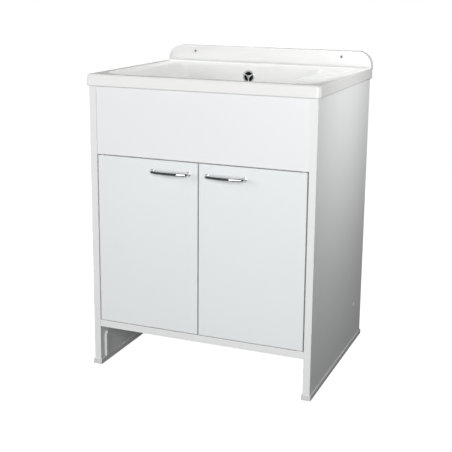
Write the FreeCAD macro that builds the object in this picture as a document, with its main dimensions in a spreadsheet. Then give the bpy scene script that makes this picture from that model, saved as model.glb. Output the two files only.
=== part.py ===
import FreeCAD, Part
import math
import os
import Sketcher

# Utility laundry sink, 60 x 50 cm: a moulded tub on a two-door base unit of boards that is open at the back.
# X runs to the right, Y to the back and Z up. The origin is on the floor, in the middle of the overall box.

doc = FreeCAD.newDocument("laundry_sink")
sheet = doc.addObject("Spreadsheet::Sheet", "dims")

SIZES = [
    # cabinet
    ("cabinet_width", 588), ("cabinet_depth", 485), ("board", 18), ("edge_round", 1),
    ("shelf_top", 122), ("shelf_recess", 1), ("panel_recess", 1.5), ("rail_height", 90),
    ("upper_rail_top", 500),
    ("shoe_height", 13), ("shoe_wall", 2.5), ("shoe_base", 3), ("shoe_gap", 0.2),
    ("stop_thickness", 5), ("stop_depth", 14), ("stop_setback", 22), ("stop_foot", 15), ("stop_length", 66),
    # tub
    ("rim_height", 760), ("tub_depth", 500), ("tub_wall", 4), ("skirt_gap", 2), ("skirt_drop", 29),
    ("skirt_draft", 1.5), ("tub_corner", 9), ("under_corner", 2.5), ("rim_round", 5), ("skirt_round", 3),
    ("bowl_gap", 1), ("deck_width", 23), ("recess_depth", 9), ("mouth_round", 3),
    ("bowl_width", 456), ("bowl_depth", 206), ("bowl_corner", 55), ("bowl_step", 4),
    ("wall_draft", 16), ("back_draft", 4), ("washboard_run", 100), ("floor_round", 24),
    ("splash_rise", 43), ("splash_thickness", 22), ("splash_corner", 38), ("splash_round", 1.2),
    ("cove_round", 5),
    ("wall_hole_spacing", 432), ("wall_hole_rise", 27), ("wall_hole_radius", 3.5),
    ("wall_boss_radius", 7), ("join", 1),
    # overflow
    ("overflow_drop", 37), ("overflow_ring", 17), ("overflow_opening", 14), ("overflow_seat", 1),
    ("grille_thickness", 2), ("spoke_width", 2.4), ("grille_hub", 4.5), ("overflow_screw_radius", 2),
    ("elbow_wall", 2), ("elbow_reach", 24), ("elbow_flange", 2.5), ("elbow_lip", 3), ("socket_depth", 12),
    ("elbow_post_start", 2), ("elbow_post_hole", 12), ("seal_thickness", 2), ("overflow_screw_grip", 10),
    ("overflow_screw_head", 1.4), ("grille_round", 0.8),
    ("overflow_pipe_radius", 9), ("pipe_wall", 1.5), ("pipe_bend", 28),
    # drain
    ("drain_radius", 27), ("strainer_flange", 35), ("strainer_sheet", 1.5), ("strainer_drop", 8),
    ("seat_depth", 3), ("seat_gap", 1.5), ("drain_screw_radius", 3), ("drain_body_drop", 42),
    ("neck_radius", 20), ("neck_length", 20), ("inlet_drop", 30), ("inlet_stub", 14), ("drain_wall", 3),
    ("drain_flange", 4), ("bridge_drop", 18), ("bridge_height", 8), ("bridge_side", 2),
    ("drain_screw_head", 2.5),
    ("outer_strainer_hole", 2.8), ("inner_strainer_hole", 2.4),
    # trap
    ("tail_radius", 16), ("tail_length", 118), ("trap_drop", 82), ("trap_radius", 34), ("trap_height", 86),
    ("cup_height", 36), ("cup_grip", 38), ("cup_wall", 3), ("cup_base_slope", 6), ("cup_fillet", 4),
    ("nut_wall", 5), ("nut_height", 20), ("nut_lip", 3), ("trap_nut_lip", 2), ("nut_chamfer", 1.5),
    ("flute_radius", 3.4), ("flute_start", 3), ("cup_flute_radius", 3), ("cup_flute_start", 5),
    ("flute_offset", 2),
    ("outlet_radius", 20), ("outlet_drop", 36), ("pipe_sheet", 2), ("tail_collar", 3), ("collar_gap", 0.5),
    ("trap_grip", 22), ("trap_shoulder", 18), ("trap_slope", 6), ("trap_wall", 3), ("trap_neck_depth", 8),
    ("outlet_stub", 20), ("outlet_axis_drop", 14), ("outlet_grip", 12), ("outlet_thread_wall", 4),
    ("outlet_bead", 1.5), ("outlet_bead_reach", 8), ("outlet_end_gap", 2),
    # doors
    ("door_top", 559), ("door_gap", 3), ("door_end_gap", 2), ("pivot_inset", 10), ("pivot_setback", 7),
    ("pin_radius", 2.5), ("pin_collar", 0.8), ("pin_collar_width", 2), ("pin_reach", 8), ("pin_point", 1),
    ("pin_in_door", 12), ("hole_room", 0.5), ("bush_radius", 4), ("bush_length", 9), ("bush_flange", 5.2),
    ("bush_flange_thickness", 0.9), ("running_gap", 0.05),
    # handles
    ("handle_span", 96), ("handle_reach", 27), ("handle_bar", 4), ("handle_bend", 9), ("handle_post", 8),
    ("handle_foot", 5), ("handle_screw_grip", 8),
    ("handle_drop", 28), ("handle_edge", 23), ("handle_screw_radius", 2), ("screw_head", 4),
    ("screw_head_height", 2.4),
    # catches and board fixings
    ("catch_width", 46), ("catch_depth", 13), ("catch_height", 30), ("catch_lap", 13), ("catch_edge", 50),
    ("catch_screw_inset", 8), ("catch_screw_drop", 7), ("catch_mouth", 2), ("catch_web", 3),
    ("strike_thickness", 1.2), ("strike_height", 22), ("strike_inset", 7), ("strike_drop", 2),
    ("strike_screw_rise", 5), ("strike_corner", 3), ("catch_screw_radius", 1.6), ("catch_screw_length", 11),
    ("catch_screw_head", 1.6), ("catch_screw_point", 2), ("catch_screw_hole", 12),
    ("dowel_radius", 4), ("dowel_length", 32), ("shelf_dowel_near", 60), ("shelf_dowel_far", 250),
    ("panel_dowel_low", 40), ("panel_dowel_high", 60), ("rail_dowel_inset", 24),
    ("dowel_in_side", 11), ("fit_gap", 0.1), ("shelf_screw_radius", 2.5), ("shelf_screw_length", 50),
    ("shelf_screw_setback", 404), ("cap_radius", 5.5), ("cap_thickness", 1.2),
]


class Size(float):
    """A length with the spreadsheet words that it comes from."""

    def __new__(cls, number, words):
        size = float.__new__(cls, number)
        size.words = words
        return size

    def __add__(self, other):
        return Size(float(self) + float(other), f"({self.words} + {words(other)})")

    def __sub__(self, other):
        return Size(float(self) - float(other), f"({self.words} - {words(other)})")

    def __mul__(self, other):
        return Size(float(self) * float(other), f"({self.words} * {words(other)})")

    def __truediv__(self, other):
        return Size(float(self) / float(other), f"({self.words} / {words(other)})")

    def __radd__(self, other):
        return Size(float(other), words(other)) + self

    def __rsub__(self, other):
        return Size(float(other), words(other)) - self

    def __rmul__(self, other):
        return Size(float(other), words(other)) * self

    def __neg__(self):
        return Size(-float(self), f"(-1 * {self.words})")


def words(value):
    return value.words if isinstance(value, Size) else f"({float(value)!r})"


for row, (alias, number) in enumerate(SIZES, start=1):
    sheet.set(f"A{row}", alias)
    sheet.set(f"B{row}", str(number))
    sheet.setAlias(f"B{row}", alias)
doc.recompute()


class Table:
    """The driving sizes by name, as in d.board."""

    def __getattr__(self, alias):
        return Size(sheet.get(alias), f"dims.{alias}")


d = Table()

# Places worked out from the driving sizes ----------------------------------------------------------

half_inside = d.cabinet_width / 2 - d.board
overhang = d.tub_wall + d.skirt_gap
tub_width = d.cabinet_width + 2 * overhang
front = (d.handle_reach + overhang - d.tub_depth) / 2
back = front + d.cabinet_depth
tub_front = front - overhang
board_top = d.rim_height - d.tub_wall
shelf_under = d.shelf_top - d.board
door_foot = d.shelf_top + d.door_end_gap
door_height = d.door_top - door_foot
door_width = half_inside - d.door_gap * 1.5
panel_foot = d.door_top + d.door_end_gap
rail_front = back - d.board
skirt_lean = Size(math.degrees(math.atan(d.skirt_draft / d.skirt_drop)),
                  "atan(dims.skirt_draft / dims.skirt_drop)")

recess_half = half_inside - d.bowl_gap - d.tub_wall
bowl_left = -recess_half
bowl_middle = bowl_left + d.bowl_width / 2
bowl_front = overhang + d.panel_recess + d.board + d.bowl_gap + d.tub_wall
bowl_back = d.tub_depth - d.splash_thickness - d.deck_width
floor_height = d.rim_height - d.bowl_depth
tub_back = tub_front + d.tub_depth
drain_y = tub_front + (bowl_front + bowl_back) / 2

UP = FreeCAD.Vector(0, 0, 1)
DOWN = FreeCAD.Vector(0, 0, -1)
RIGHT = FreeCAD.Vector(1, 0, 0)
LEFT = FreeCAD.Vector(-1, 0, 0)
BACK = FreeCAD.Vector(0, 1, 0)
FRONT = FreeCAD.Vector(0, -1, 0)
ORIGIN = (0, 0, 0)
NORMAL_SIGN = {"XY_Plane": 1, "XZ_Plane": -1, "YZ_Plane": 1}

parts = []

# Ways of making a shape ----------------------------------------------------------------------------


def bind(thing, path, value):
    thing.setExpression(path, words(value))


def place(thing, at, along=UP):
    thing.Placement = FreeCAD.Placement(FreeCAD.Vector(*at), FreeCAD.Rotation(UP, along))
    for letter, value in zip("xyz", at):
        bind(thing, f"Placement.Base.{letter}", value)


def keep(thing, label):
    """Name a finished sub-part."""
    thing.Label = label
    parts.append(thing)
    return thing


def new_body(label, at=ORIGIN, along=UP):
    body = doc.addObject("PartDesign::Body", label)
    place(body, at, along)
    return body


def new_sketch(body, role, offset=0):
    """A sketch on one of the body's own planes, moved along the plane's row axis."""
    sketch = body.newObject("Sketcher::SketchObject", "sketch")
    plane = next(feature for feature in body.Origin.OriginFeatures if feature.Role == role)
    sketch.AttachmentSupport = [(plane, "")]
    sketch.MapMode = "FlatFace"
    bind(sketch, "AttachmentOffset.Base.z", NORMAL_SIGN[role] * offset)
    return sketch


def hold(sketch, *constraint_and_value):
    """Add a constraint whose last entry is a size, tied to the table."""
    *entries, value = constraint_and_value
    index = sketch.addConstraint(Sketcher.Constraint(*entries, float(value)))
    sketch.setExpression(f"Constraints[{index}]", words(value))


def polygon(sketch, points):
    """A closed outline of straight lines with every corner tied to the table."""
    corners = [FreeCAD.Vector(x, y, 0) for x, y in points]
    ends = corners[1:] + corners[:1]
    lines = [sketch.addGeometry(Part.LineSegment(a, b), False) for a, b in zip(corners, ends)]
    for line, following in zip(lines, lines[1:] + lines[:1]):
        sketch.addConstraint(Sketcher.Constraint("Coincident", line, 2, following, 1))
    for line, (x, y) in zip(lines, points):
        hold(sketch, "DistanceX", -1, 1, line, 1, x)
        hold(sketch, "DistanceY", -1, 1, line, 1, y)


def rectangle(sketch, left, right, low, high):
    polygon(sketch, [(left, low), (right, low), (right, high), (left, high)])


def circle(sketch, x, y, radius):
    ring = sketch.addGeometry(Part.Circle(FreeCAD.Vector(x, y, 0), UP, radius), False)
    hold(sketch, "DistanceX", -1, 1, ring, 3, x)
    hold(sketch, "DistanceY", -1, 1, ring, 3, y)
    hold(sketch, "Radius", ring, radius)


def round_rectangle(sketch, left, right, low, high, radius):
    """A rectangle with four round corners, as lines joined by tangent arcs."""
    centres = [(right - radius, low + radius), (right - radius, high - radius),
               (left + radius, high - radius), (left + radius, low + radius)]
    turns = [-math.pi / 2, 0, math.pi / 2, math.pi]
    arcs = []
    for (x, y), turn in zip(centres, turns):
        ring = Part.Circle(FreeCAD.Vector(x, y, 0), UP, radius)
        arcs.append(sketch.addGeometry(Part.ArcOfCircle(ring, turn, turn + math.pi / 2), False))
    for arc, following in zip(arcs, arcs[1:] + arcs[:1]):
        start = sketch.getPoint(arc, 2)
        end = sketch.getPoint(following, 1)
        line = sketch.addGeometry(Part.LineSegment(start, end), False)
        sketch.addConstraint(Sketcher.Constraint("Tangent", arc, 2, line, 1))
        sketch.addConstraint(Sketcher.Constraint("Tangent", line, 2, following, 1))
    for arc, (x, y) in zip(arcs, centres):
        hold(sketch, "DistanceX", -1, 1, arc, 3, x)
        hold(sketch, "DistanceY", -1, 1, arc, 3, y)
    for arc in arcs[1:]:
        sketch.addConstraint(Sketcher.Constraint("Equal", arcs[0], arc))
    hold(sketch, "Radius", arcs[0], radius)


def arched_rectangle(sketch, left, right, low, high, radius):
    """A rectangle with square feet and two round top corners."""
    quarter = math.pi / 2
    shoulder = high - radius
    right_arc = Part.Circle(FreeCAD.Vector(right - radius, shoulder, 0), UP, radius)
    left_arc = Part.Circle(FreeCAD.Vector(left + radius, shoulder, 0), UP, radius)
    corners = [FreeCAD.Vector(x, y, 0) for x, y in (
        (left, shoulder), (left, low), (right, low), (right, shoulder),
        (right - radius, high), (left + radius, high))]
    for piece in (Part.LineSegment(corners[0], corners[1]), Part.LineSegment(corners[1], corners[2]),
                  Part.LineSegment(corners[2], corners[3]), Part.ArcOfCircle(right_arc, 0, quarter),
                  Part.LineSegment(corners[4], corners[5]), Part.ArcOfCircle(left_arc, quarter, 2 * quarter)):
        sketch.addGeometry(piece, False)
    for first, following in ((0, 1), (1, 2)):
        sketch.addConstraint(Sketcher.Constraint("Coincident", first, 2, following, 1))
    for first, following in ((2, 3), (3, 4), (4, 5), (5, 0)):
        sketch.addConstraint(Sketcher.Constraint("Tangent", first, 2, following, 1))
    sketch.addConstraint(Sketcher.Constraint("Vertical", 0))
    sketch.addConstraint(Sketcher.Constraint("Vertical", 2))
    sketch.addConstraint(Sketcher.Constraint("Equal", 3, 5))
    for arc, x in ((3, right - radius), (5, left + radius)):
        hold(sketch, "DistanceX", -1, 1, arc, 3, x)
        hold(sketch, "DistanceY", -1, 1, arc, 3, shoulder)
    hold(sketch, "DistanceY", -1, 1, 1, 1, low)
    hold(sketch, "DistanceY", -1, 1, 1, 2, low)
    hold(sketch, "Radius", 3, radius)


def feature(body, kind, **settings):
    """Add a feature and recompute. One that takes material away has to make the body smaller."""
    before = body.Shape.Volume if body.Tip else 0
    made = body.newObject(f"PartDesign::{kind}", kind)
    for name, value in settings.items():
        if isinstance(value, Size):
            bind(made, name, value)
        else:
            setattr(made, name, value)
    doc.recompute()
    if not made.isValid():
        raise RuntimeError(f"{body.Name}: {kind} fails: {made.getStatusString()}")
    if kind in ("Pocket", "SubtractiveLoft") and body.Shape.Volume > before - 1e-3:
        raise RuntimeError(f"{body.Name}: {kind} takes nothing away")
    return made


def pad(body, sketch, length, backwards=False):
    """Extrude along the row axis, or against it when backwards."""
    flip = NORMAL_SIGN[role_of(sketch)] < 0
    return feature(body, "Pad", Profile=sketch, Length=length, Reversed=flip != backwards)


def pocket(body, sketch, length, backwards=False):
    flip = NORMAL_SIGN[role_of(sketch)] > 0
    return feature(body, "Pocket", Profile=sketch, Length=length, Reversed=flip != backwards)


def role_of(sketch):
    return sketch.AttachmentSupport[0][0].Role


def loft(body, kind, first, last):
    return feature(body, kind, Profile=first, Sections=[last], Ruled=True)


def soften(body, radius, wanted, kind="Fillet"):
    """Round or chamfer the edges that the test picks from the body as it stands."""
    names = [f"Edge{n}" for n, edge in enumerate(body.Tip.Shape.Edges, start=1) if wanted(edge.BoundBox)]
    size_name = {"Fillet": "Radius", "Chamfer": "Size"}[kind]
    return feature(body, kind, Base=(body.Tip, names), **{size_name: radius})


def flat_at(value, low, high):
    """Whether a box lies in one plane."""
    return abs(low - value) < 0.01 and abs(high - value) < 0.01


def board(label, role, at, sizes):
    """A rectangular board: its outline on one plane, and its thickness across it."""
    body = new_body(label, at)
    along, across, thick = {"XY_Plane": (0, 1, 2), "XZ_Plane": (0, 2, 1), "YZ_Plane": (1, 2, 0)}[role]
    sketch = new_sketch(body, role)
    rectangle(sketch, 0, sizes[along], 0, sizes[across])
    pad(body, sketch, sizes[thick])
    return keep(body, label)


def drill(body, role, centres, radius, start, depth):
    """Round holes along the row axis, from a start height, all of one size."""
    sketch = new_sketch(body, role, start)
    for x, y in centres:
        circle(sketch, x, y, radius)
    pocket(body, sketch, depth)


def turned(label, at, along, profile):
    """A turned piece: a profile of (radius, height) points about its own axis."""
    body = new_body(label, at, along)
    sketch = new_sketch(body, "XZ_Plane")
    polygon(sketch, profile)
    feature(body, "Revolution", Profile=sketch, ReferenceAxis=(sketch, ["V_Axis"]), Angle=360)
    return body


def group(label, members):
    """Separate copies of one fastener, kept together under one name."""
    made = doc.addObject("Part::Compound", label)
    made.Links = members
    doc.recompute()
    return keep(made, label)


def tube_profile(inner, outer, low, high):
    return [(inner, low), (outer, low), (outer, high), (inner, high)]


def rod_profile(radius, low, high):
    return [(0, low), (radius, low), (radius, high), (0, high)]


# Tub: one moulding with skirt, rim, offset bowl, lower ledge and backsplash ------------------------

share_at_overflow = (d.overflow_drop - d.recess_depth) / (d.bowl_depth - d.recess_depth)
overflow_face = bowl_back - d.back_draft * share_at_overflow + d.overflow_seat
overflow_back = overflow_face + d.tub_wall
seat_floor = -d.bowl_depth - d.seat_depth
boss_under = seat_floor - d.tub_wall


def make_tub():
    """Drawn from the rim's top face (Z = 0) and the tub's front (Y = 0)."""
    body = new_body("tub", (0, tub_front, d.rim_height))
    half = tub_width / 2
    splash_face = d.tub_depth - d.splash_thickness

    skirt = new_sketch(body, "XY_Plane", -d.skirt_drop)
    round_rectangle(skirt, -half, half, 0, d.tub_depth, d.tub_corner)
    feature(body, "Pad", Profile=skirt, Length=d.skirt_drop, TaperAngle=-skirt_lean)
    top_half = half - d.skirt_draft
    soften(body, d.rim_round, lambda box: flat_at(0, box.ZMin, box.ZMax))
    soften(body, d.skirt_round, lambda box: flat_at(-d.skirt_drop, box.ZMin, box.ZMax))

    # backsplash, a hollow-backed upstand along the wall side
    splash = new_sketch(body, "XZ_Plane", splash_face)
    arched_rectangle(splash, -top_half, top_half, -d.rim_round - d.join, d.splash_rise, d.splash_corner)
    pad(body, splash, d.splash_thickness)
    hollow = new_sketch(body, "XZ_Plane", splash_face + d.tub_wall)
    arched_rectangle(hollow, d.tub_wall - top_half, top_half - d.tub_wall, 0, d.splash_rise - d.tub_wall,
                     d.splash_corner - d.tub_wall)
    pocket(body, hollow, d.splash_thickness)
    soften(body, d.cove_round, lambda box: flat_at(splash_face, box.YMin, box.YMax)
           and flat_at(0, box.ZMin, box.ZMax))
    soften(body, d.splash_round, lambda box: flat_at(splash_face, box.YMin, box.YMax)
           and box.ZMax > d.cove_round)

    # a hollow boss behind each of the two holes for the wall screws, which rests on the wall
    wall_holes = [(side * d.wall_hole_spacing / 2, d.wall_hole_rise) for side in (-1, 1)]
    bosses = new_sketch(body, "XZ_Plane", splash_face + d.join)
    for x, z in wall_holes:
        circle(bosses, x, z, d.wall_boss_radius)
    pad(body, bosses, d.splash_thickness - d.join)
    drill(body, "XZ_Plane", wall_holes, d.wall_hole_radius, splash_face - d.join,
          d.splash_thickness + 2 * d.join)

    # underside, open below, with the skirt standing round it
    under_low = new_sketch(body, "XY_Plane", -d.skirt_drop)
    inner = half - d.tub_wall
    round_rectangle(under_low, -inner, inner, d.tub_wall, d.tub_depth - d.tub_wall, d.under_corner)
    under_top = new_sketch(body, "XY_Plane", -d.tub_wall)
    inner_top = inner - d.skirt_draft
    inner_front = d.tub_wall + d.skirt_draft
    round_rectangle(under_top, -inner_top, inner_top, inner_front, d.tub_depth - inner_front, d.under_corner)
    loft(body, "SubtractiveLoft", under_low, under_top)

    # outside of the recess and of the bowl
    wall = d.tub_wall
    tray = new_sketch(body, "XY_Plane", -d.recess_depth - wall)
    round_rectangle(tray, bowl_left - wall, recess_half + wall, bowl_front - wall, bowl_back + wall,
                    d.bowl_corner + wall)
    pad(body, tray, d.recess_depth + wall / 2)
    feature(body, "Boolean", Type="Fuse", Group=[make_bowl_form("bowl_outside", wall)])
    boss = new_sketch(body, "XY_Plane", boss_under)
    circle(boss, bowl_middle, (bowl_front + bowl_back) / 2, d.strainer_flange + wall)
    pad(body, boss, d.seat_depth + wall / 2)
    overflow_boss = new_sketch(body, "XZ_Plane", overflow_face)
    circle(overflow_boss, bowl_middle, -d.overflow_drop, d.overflow_ring + wall)
    pad(body, overflow_boss, wall)

    # inside of the recess and of the bowl
    step = d.bowl_step
    mouth = new_sketch(body, "XY_Plane", 0)
    round_rectangle(mouth, bowl_left - step, recess_half + step, bowl_front - step, bowl_back + step,
                    d.bowl_corner + step)
    ledge = new_sketch(body, "XY_Plane", -d.recess_depth)
    round_rectangle(ledge, bowl_left, recess_half, bowl_front, bowl_back, d.bowl_corner)
    loft(body, "SubtractiveLoft", mouth, ledge)
    mouth_half = recess_half + step + d.fit_gap
    soften(body, d.mouth_round, lambda box: flat_at(0, box.ZMin, box.ZMax)
           and max(-box.XMin, box.XMax) < mouth_half)
    feature(body, "Boolean", Type="Cut", Group=[make_bowl_form("bowl_inside", 0)])

    # drain seat and hole, overflow seat and hole
    drain_place = [(bowl_middle, (bowl_front + bowl_back) / 2)]
    drill(body, "XY_Plane", drain_place, d.strainer_flange + d.seat_gap, seat_floor, d.seat_depth * 2)
    drill(body, "XY_Plane", drain_place, d.drain_radius, boss_under - d.join, wall + d.seat_depth + d.join)
    overflow_place = [(bowl_middle, -d.overflow_drop)]
    drill(body, "XZ_Plane", overflow_place, d.overflow_ring + d.fit_gap, overflow_face - wall, wall)
    drill(body, "XZ_Plane", overflow_place, d.overflow_opening, overflow_face - d.join, 2 * wall)
    return keep(body, "tub")


def make_bowl_form(name, grown):
    """The bowl's hollow from mouth to floor, grown by a wall. Its right wall slopes like a washboard."""
    form = new_body(name)
    mouth = new_sketch(form, "XY_Plane", -d.recess_depth)
    round_rectangle(mouth, bowl_left - grown, bowl_left + d.bowl_width + grown, bowl_front - grown,
                    bowl_back + grown, d.bowl_corner + grown)
    floor = new_sketch(form, "XY_Plane", -d.bowl_depth - grown)
    floor_left, floor_right = bowl_left + d.wall_draft, bowl_left + d.bowl_width - d.washboard_run
    round_rectangle(floor, floor_left - grown, floor_right + grown, bowl_front + d.wall_draft - grown,
                    bowl_back - d.back_draft + grown, d.bowl_corner + grown)
    loft(form, "AdditiveLoft", mouth, floor)
    low = -d.bowl_depth - grown
    soften(form, d.floor_round + grown, lambda box: flat_at(low, box.ZMin, box.ZMax))
    return form


# Cabinet boards ------------------------------------------------------------------------------------

panel_y = front + d.panel_recess
shelf_y = front + d.shelf_recess
mid_board = d.board / 2
shelf_dowels = [(front + step, d.shelf_top - mid_board) for step in (d.shelf_dowel_near, d.shelf_dowel_far)]
panel_dowels = [(panel_y + mid_board, panel_foot + d.panel_dowel_low),
                (panel_y + mid_board, board_top - d.panel_dowel_high)]
rail_dowel_rises = (d.rail_dowel_inset, d.rail_height - d.rail_dowel_inset)
upper_dowels = [(rail_front + mid_board, d.upper_rail_top - rise) for rise in rail_dowel_rises]
lower_dowels = [(rail_front + mid_board, d.shelf_top + rise) for rise in rail_dowel_rises]
all_dowels = shelf_dowels + panel_dowels + upper_dowels + lower_dowels
screw_place = (front + d.shelf_screw_setback, d.shelf_top - mid_board)
dowel_hole = d.dowel_radius + d.fit_gap


def make_side(label, x, inner_start, outer_start):
    """A side board, from the shoe up to the tub's deck, drilled on its inner face for the dowels."""
    at = (x, front, d.shoe_base)
    side = board(label, "YZ_Plane", at, (d.board, d.cabinet_depth, board_top - d.shoe_base))
    soften(side, d.edge_round, lambda box: flat_at(0, box.YMin, box.YMax) and box.ZLength > d.board)
    centres = [(y - front, z - d.shoe_base) for y, z in all_dowels]
    drill(side, "YZ_Plane", centres, dowel_hole, inner_start, d.dowel_in_side + d.fit_gap)
    screw = [(screw_place[0] - front, screw_place[1] - d.shoe_base)]
    drill(side, "YZ_Plane", screw, d.shelf_screw_radius + d.fit_gap, 0, d.board)
    drill(side, "YZ_Plane", screw, d.screw_head + d.fit_gap, outer_start, d.screw_head_height + d.fit_gap)


def cross_board(label, role, at, sizes, dowel_places):
    """A board between the sides, drilled in both ends for its dowels."""
    piece = board(label, role, at, sizes)
    centres = [(y - at[1], z - at[2]) for y, z in dowel_places]
    deep = d.dowel_length - d.dowel_in_side + d.fit_gap
    drill(piece, "YZ_Plane", centres, dowel_hole, 0, deep)
    drill(piece, "YZ_Plane", centres, dowel_hole, 2 * half_inside - deep, deep)
    return piece


def make_boards():
    make_side("left_side", -d.cabinet_width / 2, d.board - d.dowel_in_side - d.fit_gap, 0)
    make_side("right_side", half_inside, 0, d.board - d.screw_head_height - d.fit_gap)

    width = 2 * half_inside
    shelf = cross_board("bottom_shelf", "XY_Plane", (-half_inside, shelf_y, shelf_under),
                        (width, back - shelf_y, d.board), shelf_dowels)
    soften(shelf, d.edge_round, lambda box: flat_at(0, box.YMin, box.YMax) and box.XLength > d.board)
    screw = [(screw_place[0] - shelf_y, mid_board)]
    screw_deep = d.shelf_screw_length - d.board + d.hole_room * 2
    drill(shelf, "YZ_Plane", screw, d.shelf_screw_radius + d.fit_gap, 0, screw_deep)
    drill(shelf, "YZ_Plane", screw, d.shelf_screw_radius + d.fit_gap, width - screw_deep, screw_deep)
    bush_seats = [(side * pivot_x + half_inside, pivot_y - shelf_y) for side in (-1, 1)]
    drill(shelf, "XY_Plane", bush_seats, d.bush_radius + d.fit_gap, d.board - bush_deep, bush_deep)

    panel = cross_board("front_panel", "XZ_Plane", (-half_inside, panel_y, panel_foot),
                        (width, d.board, board_top - panel_foot), panel_dowels)
    soften(panel, d.edge_round, lambda box: flat_at(0, box.YMin, box.YMax) and box.XLength > d.board)
    bush_seats = [(x, pivot_y - panel_y) for x, y in bush_seats]
    drill(panel, "XY_Plane", bush_seats, d.bush_radius + d.fit_gap, 0, bush_deep)
    catch_holes = [(x + half_inside, z - panel_foot) for x, z in catch_screw_places]
    drill(panel, "XZ_Plane", catch_holes, d.catch_screw_radius + d.fit_gap, d.board - d.catch_screw_hole,
          d.catch_screw_hole)

    cross_board("upper_rear_rail", "XZ_Plane", (-half_inside, rail_front, d.upper_rail_top - d.rail_height),
                (width, d.board, d.rail_height), upper_dowels)
    cross_board("lower_rear_rail", "XZ_Plane", (-half_inside, rail_front, d.shelf_top),
                (width, d.board, d.rail_height), lower_dowels)


def make_shoe(label, x):
    """A shallow plastic tray round the foot of a side board."""
    wall = d.shoe_wall + d.shoe_gap
    body = new_body(label, (x - wall, front - wall, 0))
    outline = new_sketch(body, "XY_Plane")
    rectangle(outline, 0, d.board + 2 * wall, 0, d.cabinet_depth + 2 * wall)
    pad(body, outline, d.shoe_height)
    soften(body, d.shoe_wall / 2, lambda box: flat_at(d.shoe_height, box.ZMin, box.ZMax))
    room = new_sketch(body, "XY_Plane", d.shoe_base)
    rectangle(room, d.shoe_wall, d.board + 2 * wall - d.shoe_wall, d.shoe_wall,
              d.cabinet_depth + 2 * wall - d.shoe_wall)
    pocket(body, room, d.shoe_height)
    return keep(body, label)


def make_plinth_stops():
    """Two upright strips with a cut-back top, one on each side board, for a loose plinth to push against."""
    strips = []
    for side, x in (("left", -half_inside), ("right", half_inside - d.stop_thickness)):
        body = new_body(f"{side}_stop", (x, front + d.stop_setback, d.stop_foot))
        outline = new_sketch(body, "YZ_Plane")
        cut = d.stop_depth / 2
        polygon(outline, [(0, 0), (d.stop_depth, 0), (d.stop_depth, d.stop_length), (cut, d.stop_length),
                          (0, d.stop_length - cut)])
        pad(body, outline, d.stop_thickness)
        strips.append(body)
    group("plinth_stops", strips)


def make_board_fixings():
    dowels = []
    for side in (-1, 1):
        direction = RIGHT if side < 0 else LEFT
        for y, z in all_dowels:
            start = side * (half_inside + d.dowel_in_side)
            rod = rod_profile(d.dowel_radius, 0, d.dowel_length)
            dowels.append(turned("dowel", (start, y, z), direction, rod))
    group("dowels", dowels)

    screws, caps = [], []
    y, z = screw_place
    for side in (-1, 1):
        direction = RIGHT if side < 0 else LEFT
        outside = side * d.cabinet_width / 2
        head, shank = d.screw_head, d.shelf_screw_radius
        profile = [(0, 0), (head, 0), (head, d.screw_head_height), (shank, d.screw_head_height),
                   (shank, d.shelf_screw_length - shank), (0, d.shelf_screw_length)]
        screws.append(turned("shelf_screw", (outside, y, z), direction, profile))
        rim, crown = d.cap_radius, -d.cap_thickness
        dome = [(0, crown), (rim * 0.7, crown), (rim, crown * 0.4), (rim, 0), (0, 0)]
        caps.append(turned("screw_cap", (outside, y, z), direction, dome))
    group("shelf_screws", screws)
    group("screw_caps", caps)


# Doors, their pivots, handles and catches ----------------------------------------------------------

pivot_x = half_inside - d.door_gap - d.pivot_inset
pivot_y = front + d.pivot_setback
bush_deep = d.bush_length + d.hole_room
handle_z = d.door_top - d.handle_drop
handle_near = d.door_gap / 2 + d.handle_edge
catch_y = panel_y + d.board
catch_x = d.catch_edge
catch_hole_z = d.door_top - d.catch_lap + d.catch_height - d.catch_screw_drop
catch_screw_step = d.catch_width / 2 - d.catch_screw_inset
catch_screw_places = [(side * d.catch_edge + step * catch_screw_step, catch_hole_z)
                      for side in (-1, 1) for step in (-1, 1)]
strike_y = front + d.board
strike_foot = d.door_top - d.strike_drop - d.strike_height
strike_width = d.catch_width - 2 * d.strike_inset
strike_screw_z = strike_foot + d.strike_screw_rise


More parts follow.
